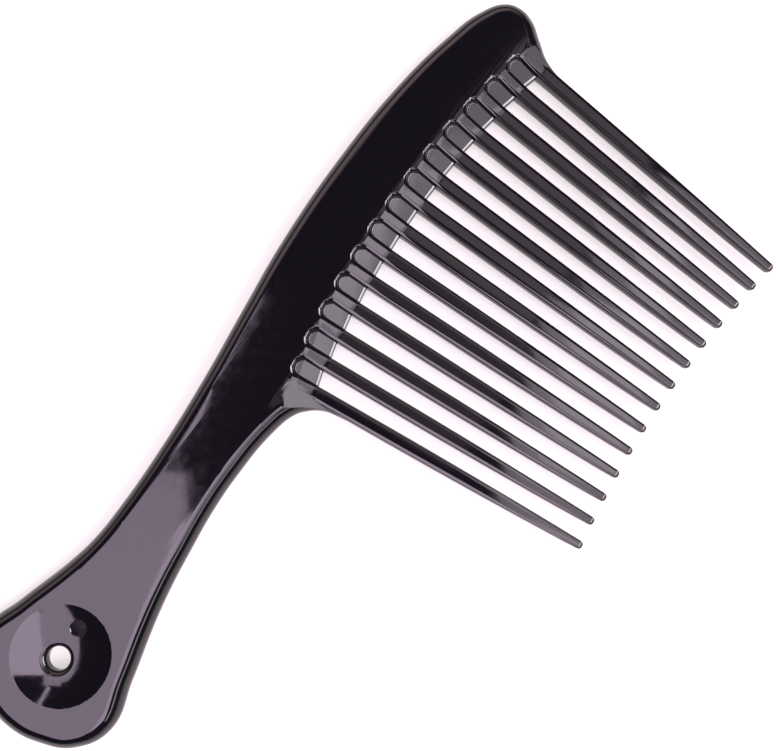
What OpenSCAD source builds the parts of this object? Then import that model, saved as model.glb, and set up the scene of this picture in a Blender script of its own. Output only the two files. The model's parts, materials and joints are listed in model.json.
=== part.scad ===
// Afro pick: a wide-toothed hair comb with a long hanging handle, moulded in one
// piece of glossy black plastic. The moulding is drawn region by region, and the
// regions meet face to face. Both faces are alike, mirrored about the parting plane.

/* [Body] */
// Thickness of the pad, the grip and the spine, over their flat faces
body_t = 8; // [7.8:0.1:9]

/* [Hanging pad] */
// From the hanging hole to the end of the pad
pad_end = 22.2; // [20:0.1:24]
// Width of the pad at its widest
pad_w = 44.6; // [42:0.2:48]
// How far the pad's middle line lies below the hole
pad_drop = 0.8; // [0:0.1:1.5]
// Radius of the hanging hole
hole_r = 3.25; // [2.5:0.05:4]
// Radius of the rounded rim on both ends of the hole
hole_rim_r = 1.4; // [0.8:0.1:1.6]
// Radius of the round dish about the hole
dish_r = 13.6; // [12:0.1:15]
// Depth of the dish
dish_depth = 1.2; // [0.6:0.1:1.4]
// How far the dish's middle lies from the hole, towards the grip
dish_shift = 1; // [0:0.1:2]
// Radius of the ejector mark in the dish
mark_r = 2.4; // [1.5:0.1:3]
// Depth of the ejector mark
mark_depth = 0.3; // [0.1:0.05:0.5]
// From the hole to the middle of the ejector mark
mark_x = 9; // [8.2:0.1:10]
// From the hole to the line where the pad ends and the grip begins
pad_len = 22.6; // [21:0.2:24]

/* [Grip] */
// From the hole to the narrowest place of the back edge
waist_back_x = 41; // [36:1:46]
// Height of the back edge over the hole's level at its narrowest place
waist_back = 12; // [11:0.1:13]
// From the hole to the narrowest place of the teeth-side edge
waist_front_x = 68; // [60:1:70]
// Depth of the teeth-side edge under the hole's level at its narrowest place
waist_front = 9; // [8:0.1:9.4]
// From the hole to the line where the grip ends and the spine begins
grip_len = 84; // [80:0.5:86]

/* [Spine] */
// From the hole to the highest place of the spine's back
crown_x = 160; // [150:1:170]
// Height of the spine's back over the hole's level
crown_h = 22.7; // [21:0.1:26]
// From the hole to the tip of the rounded head end
head_x = 227.2; // [225:0.1:232]
// Height of the head's tip over the hole's level
head_h = 6.5; // [5:0.1:8]

/* [Heel and toe] */
// From the hole to the place where the heel of the first tooth leaves the grip's edge
heel_x = 91.3; // [90:0.1:92.5]
// Depth of that place under the hole's level
heel_depth = 11.9; // [11.2:0.1:12.6]
// Distance down the first tooth's axis over which the heel sweeps
heel_drop = 28; // [26:0.5:32]
// From the hole to the place where the toe of the last tooth leaves the head's edge
toe_x = 222; // [221:0.1:223]
// Depth of that place under the hole's level
toe_depth = 4.2; // [3.6:0.1:4.8]
// Distance down the last tooth's axis over which the toe sweeps
toe_drop = 20; // [18:0.5:24]

/* [Teeth] */
// Spacing of the teeth at the hole's level
pitch = 9.06; // [9:0.01:9.12]
// From the hole's level down to the point where all the tooth axes meet
fan_depth = 536; // [480:1:600]
// From the hole to the middle of the fan of teeth
fan_x = 157; // [156.5:0.1:157.5]
// Width of a tooth at its root
tooth_w = 4.6; // [4.4:0.05:4.8]
// Thickness of a tooth at its root
tooth_t = 7.6; // [6.8:0.1:7.7]
// Width of a tooth just before its rounded tip
tip_w = 2.6; // [2.4:0.05:3.4]
// Thickness of a tooth just before its rounded tip
tip_t = 3.2; // [2.4:0.1:4]
// Radius of the arc on which the teeth begin
root_arc_r = 282; // [250:1:320]
// From the hole to the highest place of that arc
root_arc_x = 163.5; // [162:0.1:165]
// Height of that arc over the hole's level
root_arc_h = 0.7; // [0.6:0.1:2]
// Radius of the arc through the tips
tip_arc_r = 298; // [260:1:340]
// From the hole to the highest place of the arc through the tips
tip_arc_x = 159.5; // [157:0.1:162]
// Depth of that arc under the hole's level
tip_arc_h = 94.2; // [85:0.2:96]

/* [Webs and pockets] */
// Length of a web from the line of the tooth roots to its free edge
web_len = 6.1; // [4:0.1:7]
// Thickness of a web
web_t = 1.8; // [1.2:0.1:2.2]
// Radius of a pocket's round end at the face of the spine
pocket_r = 3; // [2.6:0.05:3.2]

/* [Hidden] */

plastic = [0.05, 0.05, 0.06];
tooth_plastic = [0.10, 0.10, 0.12];
web_plastic = [0.16, 0.16, 0.18];
teeth = 14;
first_tooth = 3;
first_web = first_tooth + teeth;
mid_z = body_t / 2;
over = 1;
curve_fn = 96;

function unit(v) = v / norm(v);
function between(a, b, s) = [a[0] + (b[0] - a[0]) * s[0], a[1] + (b[1] - a[1]) * s[1]];

// Points of a smooth curve through a list of points: cubic pieces whose slopes
// are weighted by the distances to the two neighbours
function slope_at(p, i) =
    i == 0 ? unit(p[1] - p[0]) :
    i == len(p) - 1 ? unit(p[i] - p[i - 1]) :
    let (a = norm(p[i] - p[i - 1]), b = norm(p[i + 1] - p[i]))
    ((p[i + 1] - p[i]) / b * a + (p[i] - p[i - 1]) / a * b) / (a + b);
function cubic(p0, p1, m0, m1, t) =
    (2 * t ^ 3 - 3 * t ^ 2 + 1) * p0 + (t ^ 3 - 2 * t ^ 2 + t) * m0
    + (3 * t ^ 2 - 2 * t ^ 3) * p1 + (t ^ 3 - t ^ 2) * m1;
function smooth_curve(p, steps) = [
    for (i = [0 : len(p) - 2], k = [0 : steps - 1])
        let (d = norm(p[i + 1] - p[i]))
        cubic(p[i], p[i + 1], slope_at(p, i) * d, slope_at(p, i + 1) * d, k / steps),
    p[len(p) - 1]];

// A solid through a stack of rings with equal numbers of points, each ring
// running anticlockwise as seen from the end of the stack. Where its end faces are
// hollow in places, caps splits them into triangles.
module stack(rings, caps = []) {
    n = len(rings[0]);
    last = len(rings) - 1;
    sides = [for (k = [0 : last - 1], i = [0 : n - 1])
        let (j = (i + 1) % n, a = k * n, b = a + n)
        each [[a + i, b + j, a + j], [a + i, b + i, b + j]]];
    whole_face = [[for (i = [0 : n - 1]) i]];
    start_faces = len(caps) > 0 ? caps : whole_face;
    end_faces = [for (f = start_faces) [for (i = [len(f) - 1 : -1 : 0]) last * n + f[i]]];
    polyhedron([for (ring = rings) each ring], concat(sides, start_faces, end_faces),
               convexity = 10);
}

// Triangles between two rows of ring points that both run towards the hole: the row
// along the back of the comb and the row along its front
function strip(ring, back, front, i = 0, j = 0) =
    let (back_left = i < len(back) - 1, front_left = j < len(front) - 1)
    !back_left && !front_left ? [] :
    back_left && (!front_left || ring[back[i + 1]][0] >= ring[front[j + 1]][0]) ?
        concat([[back[i], back[i + 1], front[j]]], strip(ring, back, front, i + 1, j)) :
        concat([[back[i], front[j + 1], front[j]]], strip(ring, back, front, i, j + 1));

// The fan of teeth: number i runs from 0 at the handle to teeth - 1 at the head.
// Places on a tooth are given by the distance down its axis from the hole's level
// and the distance across it.
function tooth_level(i) = (i - (teeth - 1) / 2) * pitch;
function fan_turn(i) = atan(tooth_level(i) / fan_depth);
function along(i) = [-sin(fan_turn(i)), -cos(fan_turn(i))];
function across(i) = [cos(fan_turn(i)), -sin(fan_turn(i))];
function on_tooth(i, down, side) =
    [fan_x + tooth_level(i), 0] + along(i) * down + across(i) * side;
// Distance down the axis of tooth i to an arc that peaks at [peak_x, peak_y]
function arc_distance(i, peak_x, peak_y, r) =
    let (q = on_tooth(i, 0, 0) - [peak_x, peak_y - r], b = q * along(i))
    -b - sqrt(b ^ 2 - q * q + r ^ 2);
function root_at(i) = arc_distance(i, root_arc_x, root_arc_h, root_arc_r);
function tip_at(i) = arc_distance(i, tip_arc_x, -tip_arc_h, tip_arc_r);
function root_corner(i, side) = on_tooth(i, root_at(i), side * tooth_w / 2);

// Outline of the whole comb without its teeth, anticlockwise from the last tooth's
// outer edge round the head, the back and the pad to the first tooth's outer edge.
// The first and the last point only set the direction in which the curve ends.
last_tooth = teeth - 1;
edge_run = 8;
toe_start = on_tooth(last_tooth, toe_drop + edge_run, tooth_w / 2);
toe_end = on_tooth(last_tooth, toe_drop, tooth_w / 2);
toe_corner = [toe_x, -toe_depth];
head_tip = [head_x, head_h];
crown = [crown_x, crown_h];
waist_up = [waist_back_x, waist_back];
waist_low = [waist_front_x, -waist_front];
heel_corner = [heel_x, -heel_depth];
heel_end = on_tooth(0, heel_drop, -tooth_w / 2);
heel_start = on_tooth(0, heel_drop + edge_run, -tooth_w / 2);

toe_shares = [[0.88, 0.58], [0.67, 0.38]];
under_head_shares = [[0.33, 0.57]];
head_shares = [[0.98, 0.72], [0.885, 0.41], [0.7, 0.21], [0.42, 0.05]];
back_shares = [[0.74, 0.845], [0.55, 0.563]];
grip_back_share = 0.275;
low_back_shares = [[0.17, 0.07]];
waist_shares = [[0.46, 0.78]];
pad_len_share = 0.655;
pad_shares = [[0.31, 0.85], [-0.31, 1], [-0.72, 0.78], [-0.923, 0.41]];
front_shares = [[0.24, 0.39], [0.48, 0.67], [0.72, 0.9]];
grip_front_share = 0.31;
heel_shares = [[0.37, 0.13], [0.73, 0.36], [0.93, 0.66]];

pad_half = pad_w / 2;
function pad_point(share, side) = [share[0] * pad_end, -pad_drop + side * share[1] * pad_half];
pad_back = [pad_len, -pad_drop + pad_len_share * pad_half];
pad_front = [pad_len, -pad_drop - pad_len_share * pad_half];
grip_back = [grip_len, waist_back + grip_back_share * (crown_h - waist_back)];
grip_front = [grip_len, -waist_front - grip_front_share * (heel_depth - waist_front)];

toe_knots = concat([toe_start, toe_end],
    [for (s = toe_shares) between(toe_corner, toe_end, s)]);
head_knots = concat([toe_corner],
    [for (s = under_head_shares) between(head_tip, toe_corner, s)], [head_tip],
    [for (s = head_shares) between(crown, head_tip, s)], [crown],
    [for (s = back_shares) between(waist_up, crown, s)]);
back_knots = concat([grip_back],
    [for (s = low_back_shares) between(waist_up, crown, s)], [waist_up],
    [for (s = waist_shares) between(pad_back, waist_up, s)]);
pad_knots = concat([pad_back], [for (s = pad_shares) pad_point(s, 1)],
    [[-pad_end, -pad_drop]],
    [for (i = [len(pad_shares) - 1 : -1 : 0]) pad_point(pad_shares[i], -1)]);
front_knots = concat([pad_front], [for (s = front_shares) between(pad_front, waist_low, s)],
    [waist_low]);
heel_knots = concat([heel_corner], [for (s = heel_shares) between(heel_corner, heel_end, s)],
    [heel_end, heel_start]);
steps = 4;
outline = smooth_curve(concat(toe_knots, head_knots, back_knots, pad_knots, front_knots,
                              [grip_front], heel_knots), steps);
toe_end_i = steps;
toe_i = len(toe_knots) * steps;
grip_back_i = toe_i + len(head_knots) * steps;
pad_back_i = grip_back_i + len(back_knots) * steps;
pad_front_i = pad_back_i + len(pad_knots) * steps;
grip_front_i = pad_front_i + len(front_knots) * steps;
heel_i = grip_front_i + steps;
heel_end_i = len(outline) - 1 - steps;

// Direction in which an edge point moves as the edge rounds over, scaled so that
// the edge itself moves inward by one. At the ends of a region it follows the cut.
function outward(i) =
    let (t = unit(outline[i + 1] - outline[i - 1]))
    [t[1], -t[0]];
function leaning(i, u) = u / (u * outward(i));
function edge_way(i) =
    i == toe_i ? leaning(i, toe_corner - root_corner(last_tooth, -1)) :
    i == heel_i ? leaning(i, heel_corner - root_corner(0, 1)) :
    i == grip_back_i || i == pad_back_i ? leaning(i, [0, 1]) :
    i == grip_front_i || i == pad_front_i ? leaning(i, [0, -1]) :
    outward(i);

// Round end of the pocket beside a web, where it cuts into the spine: points from its
// left to its right end, grown sideways from the round end of the web itself
pocket_steps = 10;
function root_way(i, side) =
    side > 0 ? (i == 0 ? unit(heel_corner - root_corner(i, side)) : -across(i)) :
    i == last_tooth ? unit(toe_corner - root_corner(i, side)) : across(i);
function pocket_end(i, z) =
    let (left = root_corner(i, 1), right = root_corner(i + 1, -1),
         half = (right - left) / 2, u = unit(half), v = [-u[1], u[0]],
         share = max(0, abs(z - mid_z) - web_t / 2) / (mid_z - web_t / 2),
         grow = (pocket_r - norm(half)) * share, r = norm(half) + grow)
    concat([left + root_way(i, 1) * grow],
           [for (k = [1 : pocket_steps - 1])
               let (a = 180 * k / pocket_steps)
               (left + right) / 2 - u * r * cos(a) + v * r * sin(a)],
           [right + root_way(i + 1, -1) * grow]);

// A region of the body: stretches of the outline with full-round edges, closed by
// straight cuts or, for the spine, by the round ends of the pockets
edge_rings = 5;
web_angle = asin(web_t / body_t);
edge_angles = concat([for (k = [0 : edge_rings]) -90 + (90 - web_angle) * k / edge_rings], [0],
                     [for (k = [edge_rings : -1 : 0]) 90 - (90 - web_angle) * k / edge_rings]);
function region_rings(stretches, pockets = false) =
    let (r = mid_z)
    [for (a = edge_angles)
        let (z = mid_z + r * sin(a),
             edge = [for (s = stretches, i = [s[0] : s[1]])
                 outline[i] - edge_way(i) * r * (1 - cos(a))],
             ends = [for (i = [0 : last_tooth - 1]) if (pockets) each pocket_end(i, z)])
        [for (p = concat(edge, ends)) [p[0], p[1], z]]];

// Triangles of the spine's flat faces: a ladder between the round ends of each two
// neighbouring pockets, a fan at the heel's and the toe's corner, and a strip from
// the tops of the pockets to the back
back_count = grip_back_i - toe_i + 1;
heel_point = back_count + heel_i - grip_front_i;
half_steps = pocket_steps / 2;
fan_steps = 2;
function pocket_point(i, k) = heel_point + 1 + i * (pocket_steps + 1) + k;
function spine_caps(ring) = concat(
    [for (i = [0 : last_tooth - 2], k = [0 : half_steps - 1])
        let (a = pocket_point(i, pocket_steps - k), b = pocket_point(i + 1, k))
        each [[a, b, b + 1], [a, b + 1, a - 1]]],
    [for (k = [0 : fan_steps - 1])
        let (a = pocket_point(0, k), b = pocket_point(last_tooth - 1, pocket_steps - k))
        each [[heel_point, a, a + 1], [0, b - 1, b]]],
    strip(ring, [for (k = [0 : back_count - 1]) k], concat(
        [for (k = [fan_steps : half_steps - 1]) pocket_point(last_tooth - 1, pocket_steps - k)],
        [for (i = [last_tooth - 1 : -1 : 0]) pocket_point(i, half_steps)],
        [for (k = [half_steps - 1 : -1 : fan_steps]) pocket_point(0, k)],
        [for (k = [heel_point : -1 : back_count]) k])));

// Section of a tooth between its two edges: flat lands, and corners that are
// rounder where they are wide
section_power = 3;
section_points = 16;
function corner_power(r, t) = 2 * r <= tooth_w ? section_power :
    section_power - (section_power - 2) * min(1, (2 * r - tooth_w) / (t - tooth_w));
function tooth_ring(left, right, t, left_r, right_r) =
    [for (k = [0 : section_points - 1])
        let (a = 360 * (k + 0.5) / section_points, most = cos(180 / section_points),
             c = min(1, abs(cos(a)) / most), s = min(1, abs(sin(a)) / most),
             on_right = cos(a) > 0, r = on_right ? right_r : left_r,
             power = 2 / corner_power(r, t), inset = r * (1 - c ^ power),
             p = on_right ? right + unit(left - right) * inset : left + unit(right - left) * inset)
        [p[0], p[1], mid_z + sign(sin(a)) * s ^ power * t / 2]];

// Width and thickness of tooth i at a distance down its axis: even down to the
// web's free edge, then narrowing more and more towards the tip
taper_power = 2.6;
taper_shares = [0, 0.25, 0.47, 0.66, 0.82, 0.92, 1];
tip_dome = tip_w / 2;
dome_angles = [35, 62, 80];
function neck_at(i) = tip_at(i) - tip_dome;
function web_end(i) = root_at(i) + web_len;
function width_at(i, down) =
    let (s = max(0, (down - web_end(i)) / (neck_at(i) - web_end(i))))
    tooth_w - (tooth_w - tip_w) * s ^ taper_power;
function thickness_at(i, down) =
    tooth_t - (tooth_t - tip_t) * (down - root_at(i)) / (neck_at(i) - root_at(i));
function even_ring(i, down, w, t) =
    tooth_ring(on_tooth(i, down, -w / 2), on_tooth(i, down, w / 2), t, w / 2, w / 2);
function sized_ring(i, down) = even_ring(i, down, width_at(i, down), thickness_at(i, down));
function taper_rings(i, start) =
    [for (s = taper_shares) sized_ring(i, start + (neck_at(i) - start) * s)];
function dome_rings(i) = [for (a = dome_angles)
    even_ring(i, neck_at(i) + tip_dome * sin(a) / sin(dome_angles[len(dome_angles) - 1]),
              tip_w * cos(a), tip_t * cos(a))];

// The outer teeth have one edge that sweeps into the outline of the body. The rings
// follow the outline on that edge and the tooth's straight edge on the other.
web_part = 0.25;
function swept_down(i, drop, s) =
    s < web_part ? root_at(i) + web_len * s / web_part :
    web_end(i) + (drop - web_end(i)) * (s - web_part) / (1 - web_part);
function swept_ring(i, drop, s, edge_i) =
    let (side = i == 0 ? 1 : -1, down = swept_down(i, drop, s), t = thickness_at(i, down),
         flank = on_tooth(i, down, side * width_at(i, down) / 2), edge = outline[edge_i],
         u = unit(edge - flank), w = norm(edge - flank), flank_r = min(w, tooth_w) / 2,
         edge_r = min(t / 2 / (u * outward(edge_i)), w - flank_r))
    i == 0 ? tooth_ring(edge, flank, t, edge_r, flank_r) : tooth_ring(flank, edge, t, flank_r, edge_r);
function heel_rings() =
    let (n = heel_end_i - heel_i)
    [for (k = [0 : n - 1]) swept_ring(0, heel_drop, k / n, heel_i + k)];
function toe_rings() =
    let (n = toe_i - toe_end_i)
    [for (k = [0 : n - 1]) swept_ring(last_tooth, toe_drop, k / n, toe_i - k)];

module tooth(i) {
    if (i == 0)
        stack(concat(heel_rings(), taper_rings(i, heel_drop), dome_rings(i)));
    else if (i == last_tooth)
        stack(concat(toe_rings(), taper_rings(i, toe_drop), dome_rings(i)));
    else
        stack(concat([sized_ring(i, root_at(i))], taper_rings(i, web_end(i)), dome_rings(i)));
}

// A web is a thin plate in the parting plane, between two neighbouring teeth and
// the round end of their pocket
module web(i) {
    translate([0, 0, mid_z - web_t / 2])
        linear_extrude(height = web_t)
            polygon(concat(pocket_end(i, mid_z),
                           [on_tooth(i + 1, web_end(i + 1), -tooth_w / 2),
                            on_tooth(i, web_end(i), tooth_w / 2)]));
}

module hang_hole() {
    neck_half = mid_z - dish_depth - hole_rim_r;
    translate([0, 0, -over])
        cylinder(r = hole_r, h = body_t + 2 * over, $fn = curve_fn);
    for (side = [0, 1])
        translate([0, 0, mid_z])
            mirror([0, 0, side])
                translate([0, 0, neck_half])
                    rotate_extrude($fn = curve_fn)
                        difference() {
                            square([hole_r + hole_rim_r, hole_rim_r + dish_depth + over]);
                            translate([hole_r + hole_rim_r, 0])
                                circle(r = hole_rim_r, $fn = curve_fn);
                        }
}

module dish() {
    ball_r = (dish_r ^ 2 + dish_depth ^ 2) / (2 * dish_depth);
    translate([dish_shift, 0, mid_z - dish_depth + ball_r])
        sphere(r = ball_r, $fn = curve_fn);
}

module ejector_mark() {
    translate([mark_x, 0, mid_z - dish_depth - mark_depth])
        cylinder(r = mark_r, h = dish_depth + mark_depth + over, $fn = curve_fn);
}

// The origin lies under the middle of the whole comb, on its lower face
tip_low = min([for (i = [0 : last_tooth]) on_tooth(i, tip_at(i), 0)[1]]);
x_low = min([for (p = outline) p[0]]);
x_high = max([for (p = outline) p[0]]);
y_high = max([for (p = outline) p[1]]);
module place() {
    translate([-(x_low + x_high) / 2, -(tip_low + y_high) / 2, 0])
        children();
}

module hang_pad() {
    color(plastic)
        place()
            difference() {
                stack(region_rings([[pad_back_i, pad_front_i]]));
                hang_hole();
                for (side = [0, 1])
                    translate([0, 0, mid_z])
                        mirror([0, 0, side]) {
                            dish();
                            ejector_mark();
                        }
            }
}

module grip() {
    rings = region_rings([[grip_back_i, pad_back_i], [pad_front_i, grip_front_i]]);
    back_end = pad_back_i - grip_back_i;
    color(plastic)
        place()
            stack(rings, strip(rings[0], [for (k = [0 : back_end]) k],
                               [for (k = [len(rings[0]) - 1 : -1 : back_end + 1]) k]));
}

module spine() {
    rings = region_rings([[toe_i, grip_back_i], [grip_front_i, heel_i]], true);
    color(plastic)
        place()
            stack(rings, spine_caps(rings[0]));
}

module tooth_node(i) {
    color(tooth_plastic)
        place()
            tooth(i);
}

module web_node(i) {
    color(web_plastic)
        place()
            web(i);
}

hang_pad();
grip();
spine();
for (i = [0 : last_tooth])
    tooth_node(i);
for (i = [0 : last_tooth - 1])
    web_node(i);
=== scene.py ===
import json
import math

import bpy
from mathutils import Matrix, Vector


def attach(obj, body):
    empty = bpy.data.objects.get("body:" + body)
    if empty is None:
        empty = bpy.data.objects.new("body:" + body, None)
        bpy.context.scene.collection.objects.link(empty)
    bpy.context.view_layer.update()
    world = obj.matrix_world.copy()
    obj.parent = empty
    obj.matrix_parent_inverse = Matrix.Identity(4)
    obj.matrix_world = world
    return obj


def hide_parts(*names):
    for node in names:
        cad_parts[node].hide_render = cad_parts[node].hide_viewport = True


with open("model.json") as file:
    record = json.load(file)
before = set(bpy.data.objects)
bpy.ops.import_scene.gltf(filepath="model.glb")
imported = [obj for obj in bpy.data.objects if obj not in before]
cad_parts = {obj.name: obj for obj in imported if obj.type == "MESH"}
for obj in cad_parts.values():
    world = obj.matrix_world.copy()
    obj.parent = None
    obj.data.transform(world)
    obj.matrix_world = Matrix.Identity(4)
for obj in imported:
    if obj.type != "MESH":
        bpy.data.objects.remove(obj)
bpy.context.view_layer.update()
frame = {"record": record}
bpy.ops.object.select_all(action="DESELECT")


# The photograph's view: a camera close above the comb, tipped 6 degrees, with the handle
# running to the lower left. Places on the comb are given in millimetres from the middle
# of the hanging hole: x towards the head, y towards the spine's back, z up from the table.
MM = 0.001
hole = Vector(next(m for m in frame["record"]["mounts"] if m["name"] == "hang_hole")["pos_m"])


def place(x, y, z=0.0):
    return Vector((hole.x + x * MM, hole.y + y * MM, z * MM))


comb_t = 8.0
mid_z = comb_t / 2
photo_w, focal_px, sensor_w = 778, 850, 36
picture_up = Vector((0.80696, 0.59061, 0)).normalized()
picture_right = Vector((picture_up.y, -picture_up.x, 0))
camera_at = place(95.73, -41.79, 244.14)
camera_to = place(116.1, -26.88, mid_z)
camera_back = (camera_at - camera_to).normalized()
camera_side = picture_up.cross(camera_back).normalized()
camera_up = camera_back.cross(camera_side)
camera_data = bpy.data.cameras.new("camera")
camera_data.sensor_fit = "HORIZONTAL"
camera_data.sensor_width = sensor_w
camera_data.lens = focal_px / photo_w * sensor_w
camera_data.clip_start = 0.01
camera = bpy.data.objects.new("camera", camera_data)
bpy.context.scene.collection.objects.link(camera)
camera_turn = Matrix((camera_side, camera_up, camera_back)).transposed().to_4x4()
camera.matrix_world = Matrix.Translation(camera_at) @ camera_turn
bpy.context.scene.camera = camera
bpy.context.scene.view_settings.view_transform = "Standard"


# The table: plain white paper, uncoated and matt. To the camera, to the gloss and through
# clear things it shows nearly its full white, and it keeps the comb's soft shadow.
def hex_colour(code):
    parts = [int(code[i:i + 2], 16) / 255 for i in (1, 3, 5)]
    return [c / 12.92 if c <= 0.04045 else ((c + 0.055) / 1.055) ** 2.4 for c in parts] + [1.0]


def add_node(tree, kind, sockets=None, **settings):
    node = tree.nodes.new(kind)
    for name, value in settings.items():
        setattr(node, name, value)
    for name, value in (sockets or {}).items():
        if isinstance(value, bpy.types.NodeSocket):
            tree.links.new(value, node.inputs[name])
        else:
            node.inputs[name].default_value = value
    return node


def new_material(name):
    material = bpy.data.materials.new(name)
    material.use_nodes = True
    material.node_tree.nodes.clear()
    return material, material.node_tree


def seen_directly(tree):
    """1 for the rays that show a thing itself: camera, glossy and transmission rays."""
    rays = add_node(tree, "ShaderNodeLightPath")
    shiny = add_node(tree, "ShaderNodeMath", {0: rays.outputs["Is Glossy Ray"],
                                              1: rays.outputs["Is Transmission Ray"]},
                     operation="MAXIMUM")
    direct = add_node(tree, "ShaderNodeMath", {0: rays.outputs["Is Camera Ray"],
                                               1: shiny.outputs[0]}, operation="MAXIMUM")
    return direct.outputs[0]


paper, tree = new_material("white_paper_sheet")
sheet = add_node(tree, "ShaderNodeBsdfDiffuse", {"Color": hex_colour("#F4EAEA")})
lit = add_node(tree, "ShaderNodeBsdfDiffuse", {"Color": hex_colour("#B3A9AA")})
glow = add_node(tree, "ShaderNodeEmission", {"Color": hex_colour("#FFFDFD"), "Strength": 0.58})
white = add_node(tree, "ShaderNodeAddShader", {0: lit.outputs[0], 1: glow.outputs[0]})
shown = add_node(tree, "ShaderNodeMixShader", {0: seen_directly(tree), 1: sheet.outputs[0],
                                               2: white.outputs[0]})
add_node(tree, "ShaderNodeOutputMaterial", {"Surface": shown.outputs[0]})
table_size, table_gap = 2.2, 0.0002
bpy.ops.mesh.primitive_plane_add(size=table_size, location=(0, 0, -table_gap))
table = bpy.context.object
table.name = "paper_table"
table.data.materials.append(paper)

# The room: even light for matt things. Gloss sees the pale backdrop low round the table,
# a dim warm wall past the spine's back, which ends above the backdrop, and the dark above.
world = bpy.data.worlds.new("studio")
bpy.context.scene.world = world
world.use_nodes = True
tree = world.node_tree
tree.nodes.clear()
wall_way = (0.5, 0.866, 0)
aim = add_node(tree, "ShaderNodeTexCoord")
height = add_node(tree, "ShaderNodeSeparateXYZ", {"Vector": aim.outputs["Generated"]})
wall_side = add_node(tree, "ShaderNodeVectorMath", {0: aim.outputs["Generated"], 1: wall_way},
                     operation="DOT_PRODUCT")
on_wall = add_node(tree, "ShaderNodeMapRange", {"Value": wall_side.outputs["Value"],
                                                "From Min": 0.39, "From Max": 0.68},
                   interpolation_type="SMOOTHSTEP")
wall_foot = add_node(tree, "ShaderNodeMapRange", {"Value": height.outputs["Z"],
                                                  "From Min": 0.34, "From Max": 0.62})
wall_part = add_node(tree, "ShaderNodeMath", {0: on_wall.outputs["Result"],
                                              1: wall_foot.outputs["Result"]},
                     operation="MULTIPLY")
low = add_node(tree, "ShaderNodeMapRange", {"Value": height.outputs["Z"],
                                            "From Min": 0.27, "From Max": 0.20})
even, dark, wall, backdrop = [
    add_node(tree, "ShaderNodeBackground", {"Color": hex_colour(colour), "Strength": strength})
    for colour, strength in (("#FFFBFB", 0.3), ("#B9A8C4", 0.06), ("#FFE0E4", 1.9),
                             ("#FFFFFF", 1.0))]
above = add_node(tree, "ShaderNodeMixShader", {0: wall_part.outputs[0], 1: dark.outputs[0],
                                               2: wall.outputs[0]})
around = add_node(tree, "ShaderNodeMixShader", {0: low.outputs["Result"], 1: above.outputs[0],
                                                2: backdrop.outputs[0]})
shown = add_node(tree, "ShaderNodeMixShader", {0: seen_directly(tree), 1: even.outputs[0],
                                               2: around.outputs[0]})
add_node(tree, "ShaderNodeOutputWorld", {"Surface": shown.outputs[0]})


# Lamps a metre up, mirrored by the flat faces: softboxes to the picture's left for the
# handle and its dish, more over the teeth for the beds and tips, dim ones for the haze on
# the teeth, and strips far out past the tips for the bright lines along rims and shoulders.
lamp_z, inner_z = 1.0, 0.98


def softbox(name, middle, size, level, colour, turn=0.0, height=lamp_z, shape="RECTANGLE"):
    light = bpy.data.lights.new(name, "AREA")
    light.shape = shape
    light.size, light.size_y = size
    light.color = hex_colour(colour)[:3]
    area = size[0] * size[1] * (math.pi / 4 if shape == "ELLIPSE" else 1)
    light.energy = level * math.pi * area
    lamp = bpy.data.objects.new(name, light)
    bpy.context.scene.collection.objects.link(lamp)
    lamp.visible_camera = False
    lamp.location = (middle.x, middle.y, height)
    lamp.rotation_euler = (0, 0, turn)


def across_up(across, up):
    """The place so far across and up the picture from the camera's foot."""
    return camera_at + picture_right * across + picture_up * up


def along_comb(x, y):
    """The place so far towards the head and the spine's back from the camera's foot."""
    return camera_at + Vector((x, y, 0))


handle_colour, teeth_colour = "#FBE5FF", "#FFF0FF"
tips_colour, haze_colour, strip_colour = "#FFF6FF", "#FFECF2", "#FFF8FF"
picture_turn = math.atan2(picture_right.y, picture_right.x)
band_turn = picture_turn - math.radians(26.4)
teeth_turn = picture_turn - math.radians(14.7)
softbox("softbox_handle", across_up(-0.46, -0.46), (0.38, 0.84), 3.8, handle_colour,
        picture_turn, shape="ELLIPSE")
softbox("softbox_grip", across_up(-0.37, -0.20), (0.16, 0.38), 3.8, handle_colour, picture_turn)
softbox("softbox_pad", across_up(-0.105, -0.395), (0.37, 0.61), 5.8, handle_colour, picture_turn)
softbox("softbox_back", across_up(-0.277, 0.13), (0.035, 0.29), 5.0, handle_colour, band_turn)
softbox("softbox_teeth", across_up(0.406, -0.134), (0.50, 0.65), 2.8, teeth_colour, teeth_turn)
softbox("softbox_head", across_up(0.482, 0.265), (0.22, 0.27), 2.3, teeth_colour, teeth_turn)
softbox("softbox_tips", across_up(0.337, 0.174), (0.13, 0.41), 2.1, tips_colour, teeth_turn,
        inner_z)
softbox("softbox_heel", across_up(0.267, -0.205), (0.17, 0.19), 2.2, teeth_colour, teeth_turn,
        inner_z)
softbox("haze_head", along_comb(0.52, 0.07), (0.48, 0.26), 1.0, haze_colour)
softbox("haze_teeth", along_comb(0.165, 0.04), (0.23, 0.26), 0.4, haze_colour)
softbox("strip_tips", along_comb(0.65, -0.925), (1.3, 0.75), 15.0, strip_colour)
softbox("strip_grip", along_comb(-0.3, -0.86), (0.6, 0.3), 3.5, strip_colour)


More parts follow.
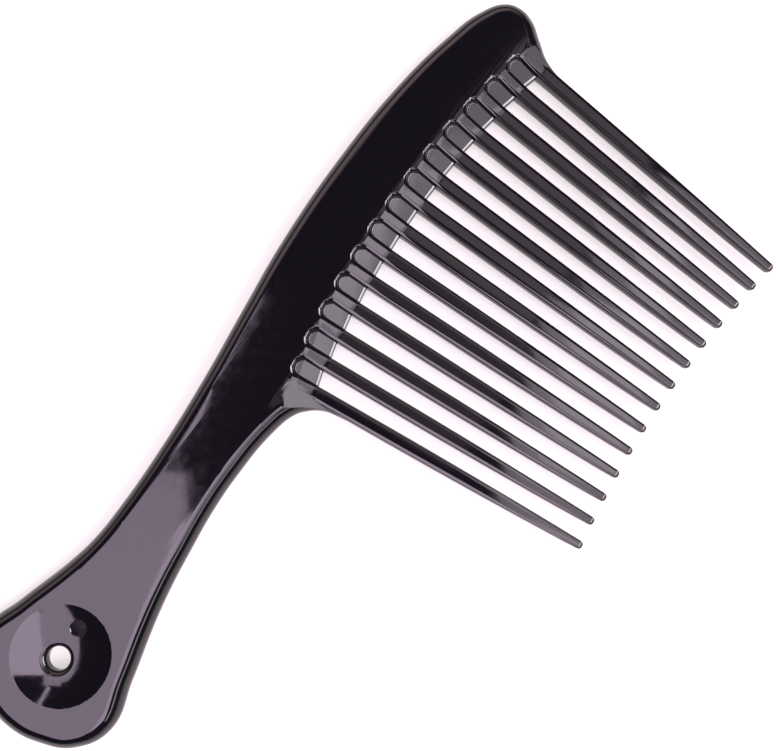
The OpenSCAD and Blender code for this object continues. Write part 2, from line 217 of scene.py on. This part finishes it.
# The comb is one injection moulding in black styrene plastic. The polished mould leaves
# a high gloss, with a slow waviness from shrinkage and faint dull marks from handling.
wave_mm, mark_mm = 18.18, 2.381
plastic, tree = new_material("moulded_black_styrene")
surface = add_node(tree, "ShaderNodeTexCoord")
shrinkage = add_node(tree, "ShaderNodeTexNoise", {"Vector": surface.outputs["Object"],
                                                  "Scale": 1 / (wave_mm * MM), "Detail": 1.0})
handling = add_node(tree, "ShaderNodeTexNoise", {"Vector": surface.outputs["Object"],
                                                 "Scale": 1 / (mark_mm * MM), "Detail": 4.0})
polish = add_node(tree, "ShaderNodeMapRange", {"Value": handling.outputs["Fac"],
                                               "From Min": 0.35, "From Max": 0.75,
                                               "To Min": 0.05, "To Max": 0.10})
wavy = add_node(tree, "ShaderNodeBump", {"Height": shrinkage.outputs["Fac"], "Strength": 0.035,
                                         "Distance": MM})
gloss = add_node(tree, "ShaderNodeBsdfPrincipled", {"Base Color": hex_colour("#0B090E"),
                                                    "Roughness": polish.outputs["Result"],
                                                    "IOR": 1.55,
                                                    "Normal": wavy.outputs["Normal"]})
add_node(tree, "ShaderNodeOutputMaterial", {"Surface": gloss.outputs[0]})


# Pad, grip and spine: one flat blank with full-round edges, drawn along its outline from
# the last tooth round the head, the back and the pad to the first tooth, and cut apart.
head_edge = [(215.6, -24.0), (216.2, -17.5), (218.3, -10.3), (222.5, -4.2), (226.0, 0.8),
             (227.2, 6.2), (225.6, 10.8), (219.2, 15.2), (206.8, 18.6)]
back_edge = [(188.1, 21.4), (160.0, 22.4), (129.1, 20.9), (106.5, 18.0), (84.0, 14.9),
             (61.2, 12.7), (41.0, 11.9), (31.0, 12.3)]
pad_edge = [(22.6, 13.8), (6.9, 18.2), (-6.9, 21.5), (-16.0, 16.6), (-20.5, 8.3), (-22.2, -0.8),
            (-20.5, -9.9), (-16.0, -18.2), (-6.9, -23.1), (6.9, -19.8), (22.6, -15.4)]
grip_edge = [(33.5, -13.0), (44.4, -11.3), (55.3, -9.85), (68.0, -9.25), (84.0, -10.15)]
heel_edge = [(91.3, -12.1), (94.1, -14.2), (96.8, -17.7), (98.2, -22.4), (98.8, -28.0)]
end_edge = [(99.6, -36.0), (214.6, -36.0)]


def only(piece):
    bpy.ops.object.select_all(action="DESELECT")
    piece.select_set(True)
    bpy.context.view_layer.objects.active = piece


def edit(piece):
    """Opens the piece in edit mode with all of it selected."""
    only(piece)
    bpy.ops.object.mode_set(mode="EDIT")
    bpy.ops.mesh.select_all(action="SELECT")


def close_mesh(piece):
    edit(piece)
    bpy.ops.mesh.remove_doubles(threshold=1e-6)
    bpy.ops.mesh.normals_make_consistent(inside=False)
    bpy.ops.object.mode_set(mode="OBJECT")
    return piece


def apply_place(piece):
    only(piece)
    bpy.ops.object.transform_apply(location=True, rotation=True, scale=True)
    return piece


def copy_of(piece, name):
    twin = bpy.data.objects.new(name, piece.data.copy())
    bpy.context.scene.collection.objects.link(twin)
    return twin


def plate(name, points, corners, thickness, edge_r):
    """A flat plate round the middle plane, with its edges rounded to edge_r."""
    curve = bpy.data.curves.new(name, "CURVE")
    curve.dimensions = "2D"
    curve.fill_mode = "BOTH"
    curve.resolution_u = 10
    curve.bevel_resolution = 8
    curve.bevel_depth = edge_r * MM
    curve.offset = -edge_r * MM
    curve.extrude = (thickness / 2 - edge_r) * MM
    line = curve.splines.new("BEZIER")
    line.bezier_points.add(len(points) - 1)
    for knot, (x, y) in zip(line.bezier_points, points):
        knot.co = place(x, y)
        knot.handle_left_type = knot.handle_right_type = "VECTOR" if (x, y) in corners else "AUTO"
    line.use_cyclic_u = True
    cast = bpy.data.objects.new(name, curve)
    bpy.context.scene.collection.objects.link(cast)
    cast.location.z = mid_z * MM
    only(cast)
    bpy.ops.object.convert(target="MESH")
    return close_mesh(apply_place(bpy.context.object))


blank = plate("blank", head_edge + back_edge + pad_edge + grip_edge + heel_edge + end_edge,
              end_edge, comb_t, comb_t / 2)


def cut_off(piece, at, away, fill=True):
    """Cuts the piece with a plane and closes the cut, which a single face doesn't need."""
    edit(piece)
    bpy.ops.mesh.bisect(plane_co=at, plane_no=away, use_fill=fill, clear_outer=True)
    bpy.ops.object.mode_set(mode="OBJECT")
    return piece


def combine(piece, tool, how="DIFFERENCE"):
    only(piece)
    step = piece.modifiers.new("cut", "BOOLEAN")
    step.operation = how
    step.object = tool
    step.solver = "MANIFOLD"
    bpy.ops.object.modifier_apply(modifier=step.name)
    bpy.data.objects.remove(tool)


def finish_piece(piece, name, node):
    """Smooth gloss surface, with the flat faces kept flat, riding where the node is."""
    piece.name = piece.data.name = name
    close_mesh(piece)
    bpy.ops.object.shade_smooth_by_angle(angle=math.radians(32))
    evened = piece.modifiers.new("evened", "WEIGHTED_NORMAL")
    evened.keep_sharp = True
    evened.weight = 100
    bpy.ops.object.modifier_apply(modifier=evened.name)
    piece.data.materials.clear()
    piece.data.materials.append(plastic)
    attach(piece, "root")
    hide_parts(node)


# The fan of teeth: fourteen axes that meet far below the comb. A tooth starts on one arc
# and ends on another, each given by its middle and its radius.
tooth_count = 14
pitch, fan_depth, fan_x, fan_turn = 9.06, 536.0, 157.0, -0.003
root_arc = (163.5, 0.7, 282.0)
tip_arc = (159.5, -94.2, 298.0)
root_w = 4.6


def axis_level(i):
    return (i - (tooth_count - 1) / 2) * pitch


def axis_turn(i):
    return math.atan(axis_level(i) / fan_depth) + fan_turn


def on_axis(i, down, side=0.0):
    a = axis_turn(i)
    return (fan_x + axis_level(i) - math.sin(a) * down + math.cos(a) * side,
            -math.cos(a) * down - math.sin(a) * side)


def down_to(i, arc):
    """How far down its axis a tooth meets the arc."""
    x, y = on_axis(i, 0)
    qx, qy = x - arc[0], y - arc[1] + arc[2]
    a = axis_turn(i)
    b = -qx * math.sin(a) - qy * math.cos(a)
    return -b - math.sqrt(b * b - qx * qx - qy * qy + arc[2] ** 2)


# The tooth bed, moulded in the same shot: past the spine's face the roots slope down by 13
# degrees, from a crease along the tops of the pockets, and from a straight crease at the
# first tooth's heel. Both slopes are cut from the blank, on both faces.
bed_slope = math.radians(13.0)
fall = math.tan(bed_slope)
sloped_off = (0, math.sin(bed_slope), -math.cos(bed_slope))
crease_r = root_arc[2] + 1.2
arc_middle = (root_arc[0], root_arc[1] - root_arc[2])
arc_start, arc_sweep, arc_steps = math.radians(13.7), math.radians(26.5), 64
bed_reach, bed_past, bed_lift = 17.6, 45.0, 2.0
heel_from, heel_to = Vector((86.7, -11.3)), Vector((98.2, -4.6))
heel_run, heel_reach, heel_lift = 24.0, 40.0, 3.0


def set_tool(tool, at, side, turn=0.0):
    """Sets a tool that was made for the upper face in its place on either face."""
    tool.rotation_euler.z = turn
    tool.scale.z = side
    tool.location = place(*at, 0 if side > 0 else comb_t)
    return apply_place(tool)


low_z, high_z = comb_t - bed_reach * fall, comb_t + bed_lift
for side in (1, -1):
    bpy.ops.mesh.primitive_plane_add(size=1, rotation=(0, math.pi / 2, 0))
    wedge = bpy.context.object
    wedge.scale = ((high_z - low_z) * MM, bed_past * MM, 1)
    wedge.location = (0, (crease_r - bed_past / 2) * MM, (low_z + high_z) / 2 * MM)
    cut_off(apply_place(wedge), (0, crease_r * MM, comb_t * MM), sloped_off, fill=False)
    edit(set_tool(wedge, arc_middle, side, arc_start))
    bpy.ops.mesh.spin(steps=arc_steps, angle=arc_sweep, center=place(*arc_middle),
                      axis=(0, 0, 1))
    bpy.ops.object.mode_set(mode="OBJECT")
    combine(blank, close_mesh(wedge))

way = (heel_to - heel_from).normalized()
low_z, high_z = comb_t - heel_reach * fall, comb_t + heel_lift
for side in (1, -1):
    bpy.ops.mesh.primitive_cube_add(size=1)
    wedge = bpy.context.object
    wedge.scale = (heel_run * MM, heel_reach * MM, (high_z - low_z) * MM)
    wedge.location = (heel_run / 2 * MM, -heel_reach / 2 * MM, (low_z + high_z) / 2 * MM)
    cut_off(apply_place(wedge), (0, 0, comb_t * MM), sloped_off)
    set_tool(wedge, heel_to - way * heel_run, side, math.atan2(way.y, way.x))
    combine(blank, close_mesh(wedge))


# Pad: the round end with the hanging hole, sunk in a shallow dish on both faces, and the
# faint disc that an ejector pin of the mould left in the dish.
pad_len, grip_len = 22.6, 84.0
hole_r, rim_r, dish_r, dish_depth = 3.25, 1.4, 14.0, 1.8
pad = cut_off(copy_of(blank, "pad"), place(pad_len, 0), (1, 0, 0))


def ring_tool(rings, vertices=72, run=0.0):
    """A closed tool drawn up from a filled circle through rings of (radius, height). With a
    run, one half is pulled out into a slot."""
    r, z = rings[0]
    bpy.ops.mesh.primitive_circle_add(vertices=vertices, radius=r * MM, fill_type="NGON")
    tool = bpy.context.object
    for v in tool.data.vertices:
        if v.co.y < -1e-6:
            v.co.y -= run * MM
    tool.location.z = z * MM
    edit(apply_place(tool))
    for (r0, z0), (r1, z1) in zip(rings, rings[1:]):
        bpy.ops.mesh.extrude_region_move(
            TRANSFORM_OT_translate={"value": (0, 0, (z1 - z0) * MM)})
        bpy.ops.transform.resize(value=(r1 / r0, r1 / r0, 1), center_override=(0, 0, 0))
    bpy.ops.object.mode_set(mode="OBJECT")
    return close_mesh(tool)


ball_r = (dish_r ** 2 + dish_depth ** 2) / (2 * dish_depth)
dish_wide, dish_steps, dish_lift = dish_r + 1.6, 24, 3.0
dish_x, dish_y = 1.9, -0.5
bowl = []
for k in range(1, dish_steps + 1):
    r = dish_wide * k / dish_steps
    bowl.append((r, comb_t - dish_depth + ball_r - math.sqrt(ball_r ** 2 - r ** 2)))
bowl.append((dish_wide, comb_t + dish_lift))
for side in (1, -1):
    combine(pad, close_mesh(set_tool(ring_tool(bowl), (dish_x, dish_y), side)))

rim_z, rim_steps, neck_lift = comb_t - dish_depth - rim_r, 8, 1.0
rim_turns = [math.pi / 2 * k / rim_steps for k in range(rim_steps + 1)]
wide_r = hole_r + rim_r
neck = [(wide_r, -neck_lift)]
neck += [(wide_r - rim_r * math.sin(a), comb_t - rim_z - rim_r * math.cos(a)) for a in rim_turns]
neck += [(wide_r - rim_r * math.cos(a), rim_z + rim_r * math.sin(a)) for a in rim_turns]
neck += [(wide_r, comb_t + neck_lift)]
combine(pad, close_mesh(set_tool(ring_tool(neck), (0, 0), 1)))

mark_x, mark_y, mark_r, mark_deep, lean_share = 10.0, 0.3, 2.4, 0.12, 0.95
mark_away = math.hypot(mark_x - dish_x, mark_y - dish_y)
mark_lean = Matrix.Rotation(-lean_share * mark_away / ball_r, 4, "Y")
disc = [(mark_r - 0.2, -mark_deep), (mark_r, 0.05), (mark_r + 0.3, 2.0)]
for side in (1, -1):
    tool = ring_tool(disc, 36)
    flip = Matrix.Diagonal((1, 1, side, 1))
    bowl_z = mid_z + side * (mid_z - dish_depth + mark_away ** 2 / (2 * ball_r))
    tool.data.transform(Matrix.Translation(place(mark_x, mark_y, bowl_z)) @ flip @ mark_lean)
    combine(pad, close_mesh(tool))
finish_piece(pad, "pad", "hang_pad")


# Grip: the narrow waist of the handle between the pad and the spine, flat on both faces
# with full-round edges. It is moulded in one with them, and cut from the same blank.
grip = cut_off(copy_of(blank, "grip"), place(pad_len, 0), (-1, 0, 0))
cut_off(grip, place(grip_len, 0), (1, 0, 0))
finish_piece(grip, "grip", "grip")


# Spine: the deep part of the blank that carries the teeth. It ends on the line of the
# roots. Between two teeth a pocket with a round, sloping end runs up into it from both
# faces, down to a thin web.
heel_corner, toe_corner = (91.3, -12.1), (222.5, -4.2)


def root_corner(i, side):
    return on_axis(i, down_to(i, root_arc), side * root_w / 2)


def beyond(a, b, run):
    step = (Vector(b) - Vector(a)).normalized() * run
    return (b[0] + step.x, b[1] + step.y)


spine = cut_off(copy_of(blank, "spine"), place(grip_len, 0), (-1, 0, 0))
roots = [root_corner(0, 1)]
for i in range(1, tooth_count - 1):
    roots += [root_corner(i, -1), root_corner(i, 1)]
roots += [root_corner(tooth_count - 1, -1)]
heel_past, toe_past, below_y, below_t = 6.0, 12.0, -60.0, 14.0
edge_line = [beyond(roots[0], heel_corner, heel_past)] + roots
edge_line += [beyond(roots[-1], toe_corner, toe_past)]
edge_line += [(edge_line[-1][0], below_y), (edge_line[0][0], below_y)]
combine(spine, plate("below_roots", edge_line, edge_line, below_t, 0.0))

web_half, web_run = 0.9, 6.1
web_root_half = web_half + web_run * fall
floor_z = web_root_half * math.cos(bed_slope)
floor_rings = [(2.05, floor_z), (2.22, floor_z + 0.06), (2.32, floor_z + 0.22), (2.40, 2.9),
               (2.42, 6.0)]
rim_slope = math.radians(6.1)
face_z = (mid_z - (crease_r - root_arc[2]) * fall) * math.cos(rim_slope)
gap_half = pitch * 0.998 / 2
tooth_profile = [(1.0, 0.0), (0.965, 0.3), (0.93, 0.6), (0.89, 0.78), (0.86, 0.85),
                 (0.81, 0.91), (0.76, 0.94), (0.50, 0.994), (0.40, 1.0)]
rim_rings = [(gap_half - share * root_w / 2, high * face_z)
             for share, high in tooth_profile[3:-1]]
top_r = rim_rings[-1][0]
rim_rings += [(top_r + 0.3, face_z + 0.12), (top_r + 0.35, face_z + 2.0)]
pocket_run = 6.0


def pocket_tool(i, side, rings, slope):
    """One pocket's round end with its straight run towards the tips, tipped like the bed."""
    tool = ring_tool(rings, 48, pocket_run)
    middle = (Vector(root_corner(i, 1)) + Vector(root_corner(i + 1, -1))) / 2
    tip = Matrix.Rotation(slope, 4, "X")
    aim = Matrix.Rotation(-(axis_turn(i) + axis_turn(i + 1)) / 2, 4, "Z")
    flip = Matrix.Diagonal((1, 1, side, 1))
    tool.data.transform(Matrix.Translation(place(middle.x, middle.y, mid_z)) @ aim @ flip @ tip)
    return close_mesh(tool)


for i in range(tooth_count - 1):
    for side in (1, -1):
        combine(spine, pocket_tool(i, side, floor_rings, bed_slope))
        combine(spine, pocket_tool(i, side, rim_rings, rim_slope))

nick_at, nick_wide, nick_foot, nick_deep, nick_turn = (217.4, -2.7), 1.9, 0.4, 0.9, 20
for side in (1, -1):
    bpy.ops.mesh.primitive_cone_add(
        vertices=3, radius1=nick_wide * MM, radius2=nick_foot * MM, depth=nick_deep * MM,
        location=place(*nick_at, mid_z + side * mid_z),
        rotation=(math.pi if side > 0 else 0, 0, math.radians(nick_turn)))
    combine(spine, close_mesh(apply_place(bpy.context.object)))
finish_piece(spine, "spine", "spine")


# Teeth: one pattern tooth, drawn out from its root section to its narrow rounded tip,
# then set along each axis. The section has drafted flanks, tight round shoulders and a
# flat land, and narrows and thins towards the tip. The first and the last tooth have a
# gusset that sweeps out to the grip and to the head. A station is (way down, width,
# thickness).
stations = [(-4.0, 4.6, 7.44), (0.0, 4.6, 7.44), (2.0, 4.6, 6.52), (4.0, 4.6, 5.66),
            (6.0, 4.6, 4.93), (8.0, 4.6, 4.47), (10.5, 4.6, 4.26), (14.0, 4.59, 4.16),
            (22.0, 4.57, 4.08), (32.0, 4.52, 3.97), (43.0, 4.4, 3.85), (54.0, 4.18, 3.72),
            (65.0, 3.86, 3.58), (75.0, 3.5, 3.45), (84.5, 3.07, 3.32), (93.6, 2.6, 3.2)]
pattern_len = 95.0
tip_turns = [20, 40, 58, 74, 86]


def drawn_tooth():
    """The pattern, with its root line at the origin and its tip down -Y."""
    start, width, thickness = stations[0]
    quarter = [(x * width / 2, z * thickness / 2) for x, z in tooth_profile]
    top = quarter + [(-x, z) for x, z in reversed(quarter)]
    ring = top + [(x, -z) for x, z in reversed(top)][1:-1]
    bpy.ops.mesh.primitive_circle_add(vertices=len(ring), fill_type="NGON")
    tooth = bpy.context.object
    for v, (x, z) in zip(tooth.data.vertices, ring):
        v.co = (x * MM, -start * MM, z * MM)
    neck_y, neck_w, neck_t = stations[-1]
    dome = pattern_len - neck_y
    steps = list(stations)
    for turn in tip_turns:
        a = math.radians(turn)
        steps.append((neck_y + dome * math.sin(a), neck_w * math.cos(a), neck_t * math.cos(a)))
    edit(tooth)
    for (d0, w0, t0), (d1, w1, t1) in zip(steps, steps[1:]):
        bpy.ops.mesh.extrude_region_move(
            TRANSFORM_OT_translate={"value": (0, (d0 - d1) * MM, 0)})
        bpy.ops.transform.resize(value=(w1 / w0, 1, t1 / t0), center_override=(0, 0, 0))
    bpy.ops.object.mode_set(mode="OBJECT")
    return close_mesh(tooth)


def add_gusset(tooth, i):
    """Joins the swept corner of the blank to an outer tooth, level with its root."""
    first = i == 0
    corner, drop = (heel_corner, 28.0) if first else (toe_corner, 20.0)
    near = root_corner(0, 1) if first else root_corner(i, -1)
    overlap = 3.0
    line = (Vector(corner) - Vector(near)).normalized()
    above = Vector((line.y, -line.x, 0)) if first else Vector((-line.y, line.x, 0))
    a = axis_turn(i)
    inward = Vector((math.cos(a), -math.sin(a), 0)) * (1 if first else -1)
    down = Vector((-math.sin(a), -math.cos(a), 0))
    sweep = cut_off(copy_of(blank, "gusset"), place(*near) + above * overlap * MM, above)
    cut_off(sweep, place(*on_axis(i, down_to(i, root_arc))), inward)
    cut_off(sweep, place(*on_axis(i, drop)), down)
    combine(tooth, close_mesh(sweep), "UNION")
    return cut_off(tooth, place(*near), above)


pattern = drawn_tooth()
for i in range(tooth_count):
    root, tip = down_to(i, root_arc), down_to(i, tip_arc)
    tooth = copy_of(pattern, "tooth")
    stretch = Matrix.Diagonal((1, (tip - root) / pattern_len, 1, 1))
    aim = Matrix.Rotation(-axis_turn(i), 4, "Z")
    tooth.data.transform(Matrix.Translation(place(*on_axis(i, root), mid_z)) @ aim @ stretch)
    if i in (0, tooth_count - 1):
        add_gusset(tooth, i)
    else:
        upward = Vector((math.sin(axis_turn(i)), math.cos(axis_turn(i)), 0))
        cut_off(tooth, place(*on_axis(i, root)), upward)
    finish_piece(tooth, f"tooth_{i + 1:02d}", f"tooth_{i + 1:02d}")
bpy.data.objects.remove(pattern)


# Webs: a thin tapering plate joins each pair of teeth in the parting plane, moulded with
# them, and ends in a small raised lip. Each row of it is (share of its run, half thickness).
lip_foot, lip_back, lip_front = 0.95, 0.80, 0.25
lip_top = web_half + 0.46
lip_end = web_half * 0.55
lip_slope = math.tan(math.radians(22.0))
web_rows = [(0.0, web_root_half), (1 - lip_foot / web_run, web_half + lip_foot * fall),
            (1 - lip_back / web_run, lip_top),
            (1 - lip_front / web_run, lip_top - (lip_back - lip_front) * lip_slope),
            (1.0, lip_end)]
web_steps = len(web_rows) - 1
for i in range(tooth_count - 1):
    left_side = (Vector(root_corner(i, 1)),
                 Vector(on_axis(i, down_to(i, root_arc) + web_run, root_w / 2)))
    right_side = (Vector(root_corner(i + 1, -1)),
                  Vector(on_axis(i + 1, down_to(i + 1, root_arc) + web_run, -root_w / 2)))
    bpy.ops.mesh.primitive_grid_add(x_subdivisions=1, y_subdivisions=web_steps, size=1)
    web = bpy.context.object
    edit(web)
    bpy.ops.mesh.extrude_region_move(TRANSFORM_OT_translate={"value": (0, 0, 1)})
    bpy.ops.object.mode_set(mode="OBJECT")
    for v in web.data.vertices:
        share, half = web_rows[round((0.5 - v.co.y) * web_steps)]
        start, end = left_side if v.co.x < 0 else right_side
        spot = start.lerp(end, share)
        v.co = place(spot.x, spot.y, mid_z + (half if v.co.z > 0.5 else -half))
    finish_piece(close_mesh(web), f"web_{i + 1:02d}", f"web_{i + 1:02d}")
bpy.data.objects.remove(blank)
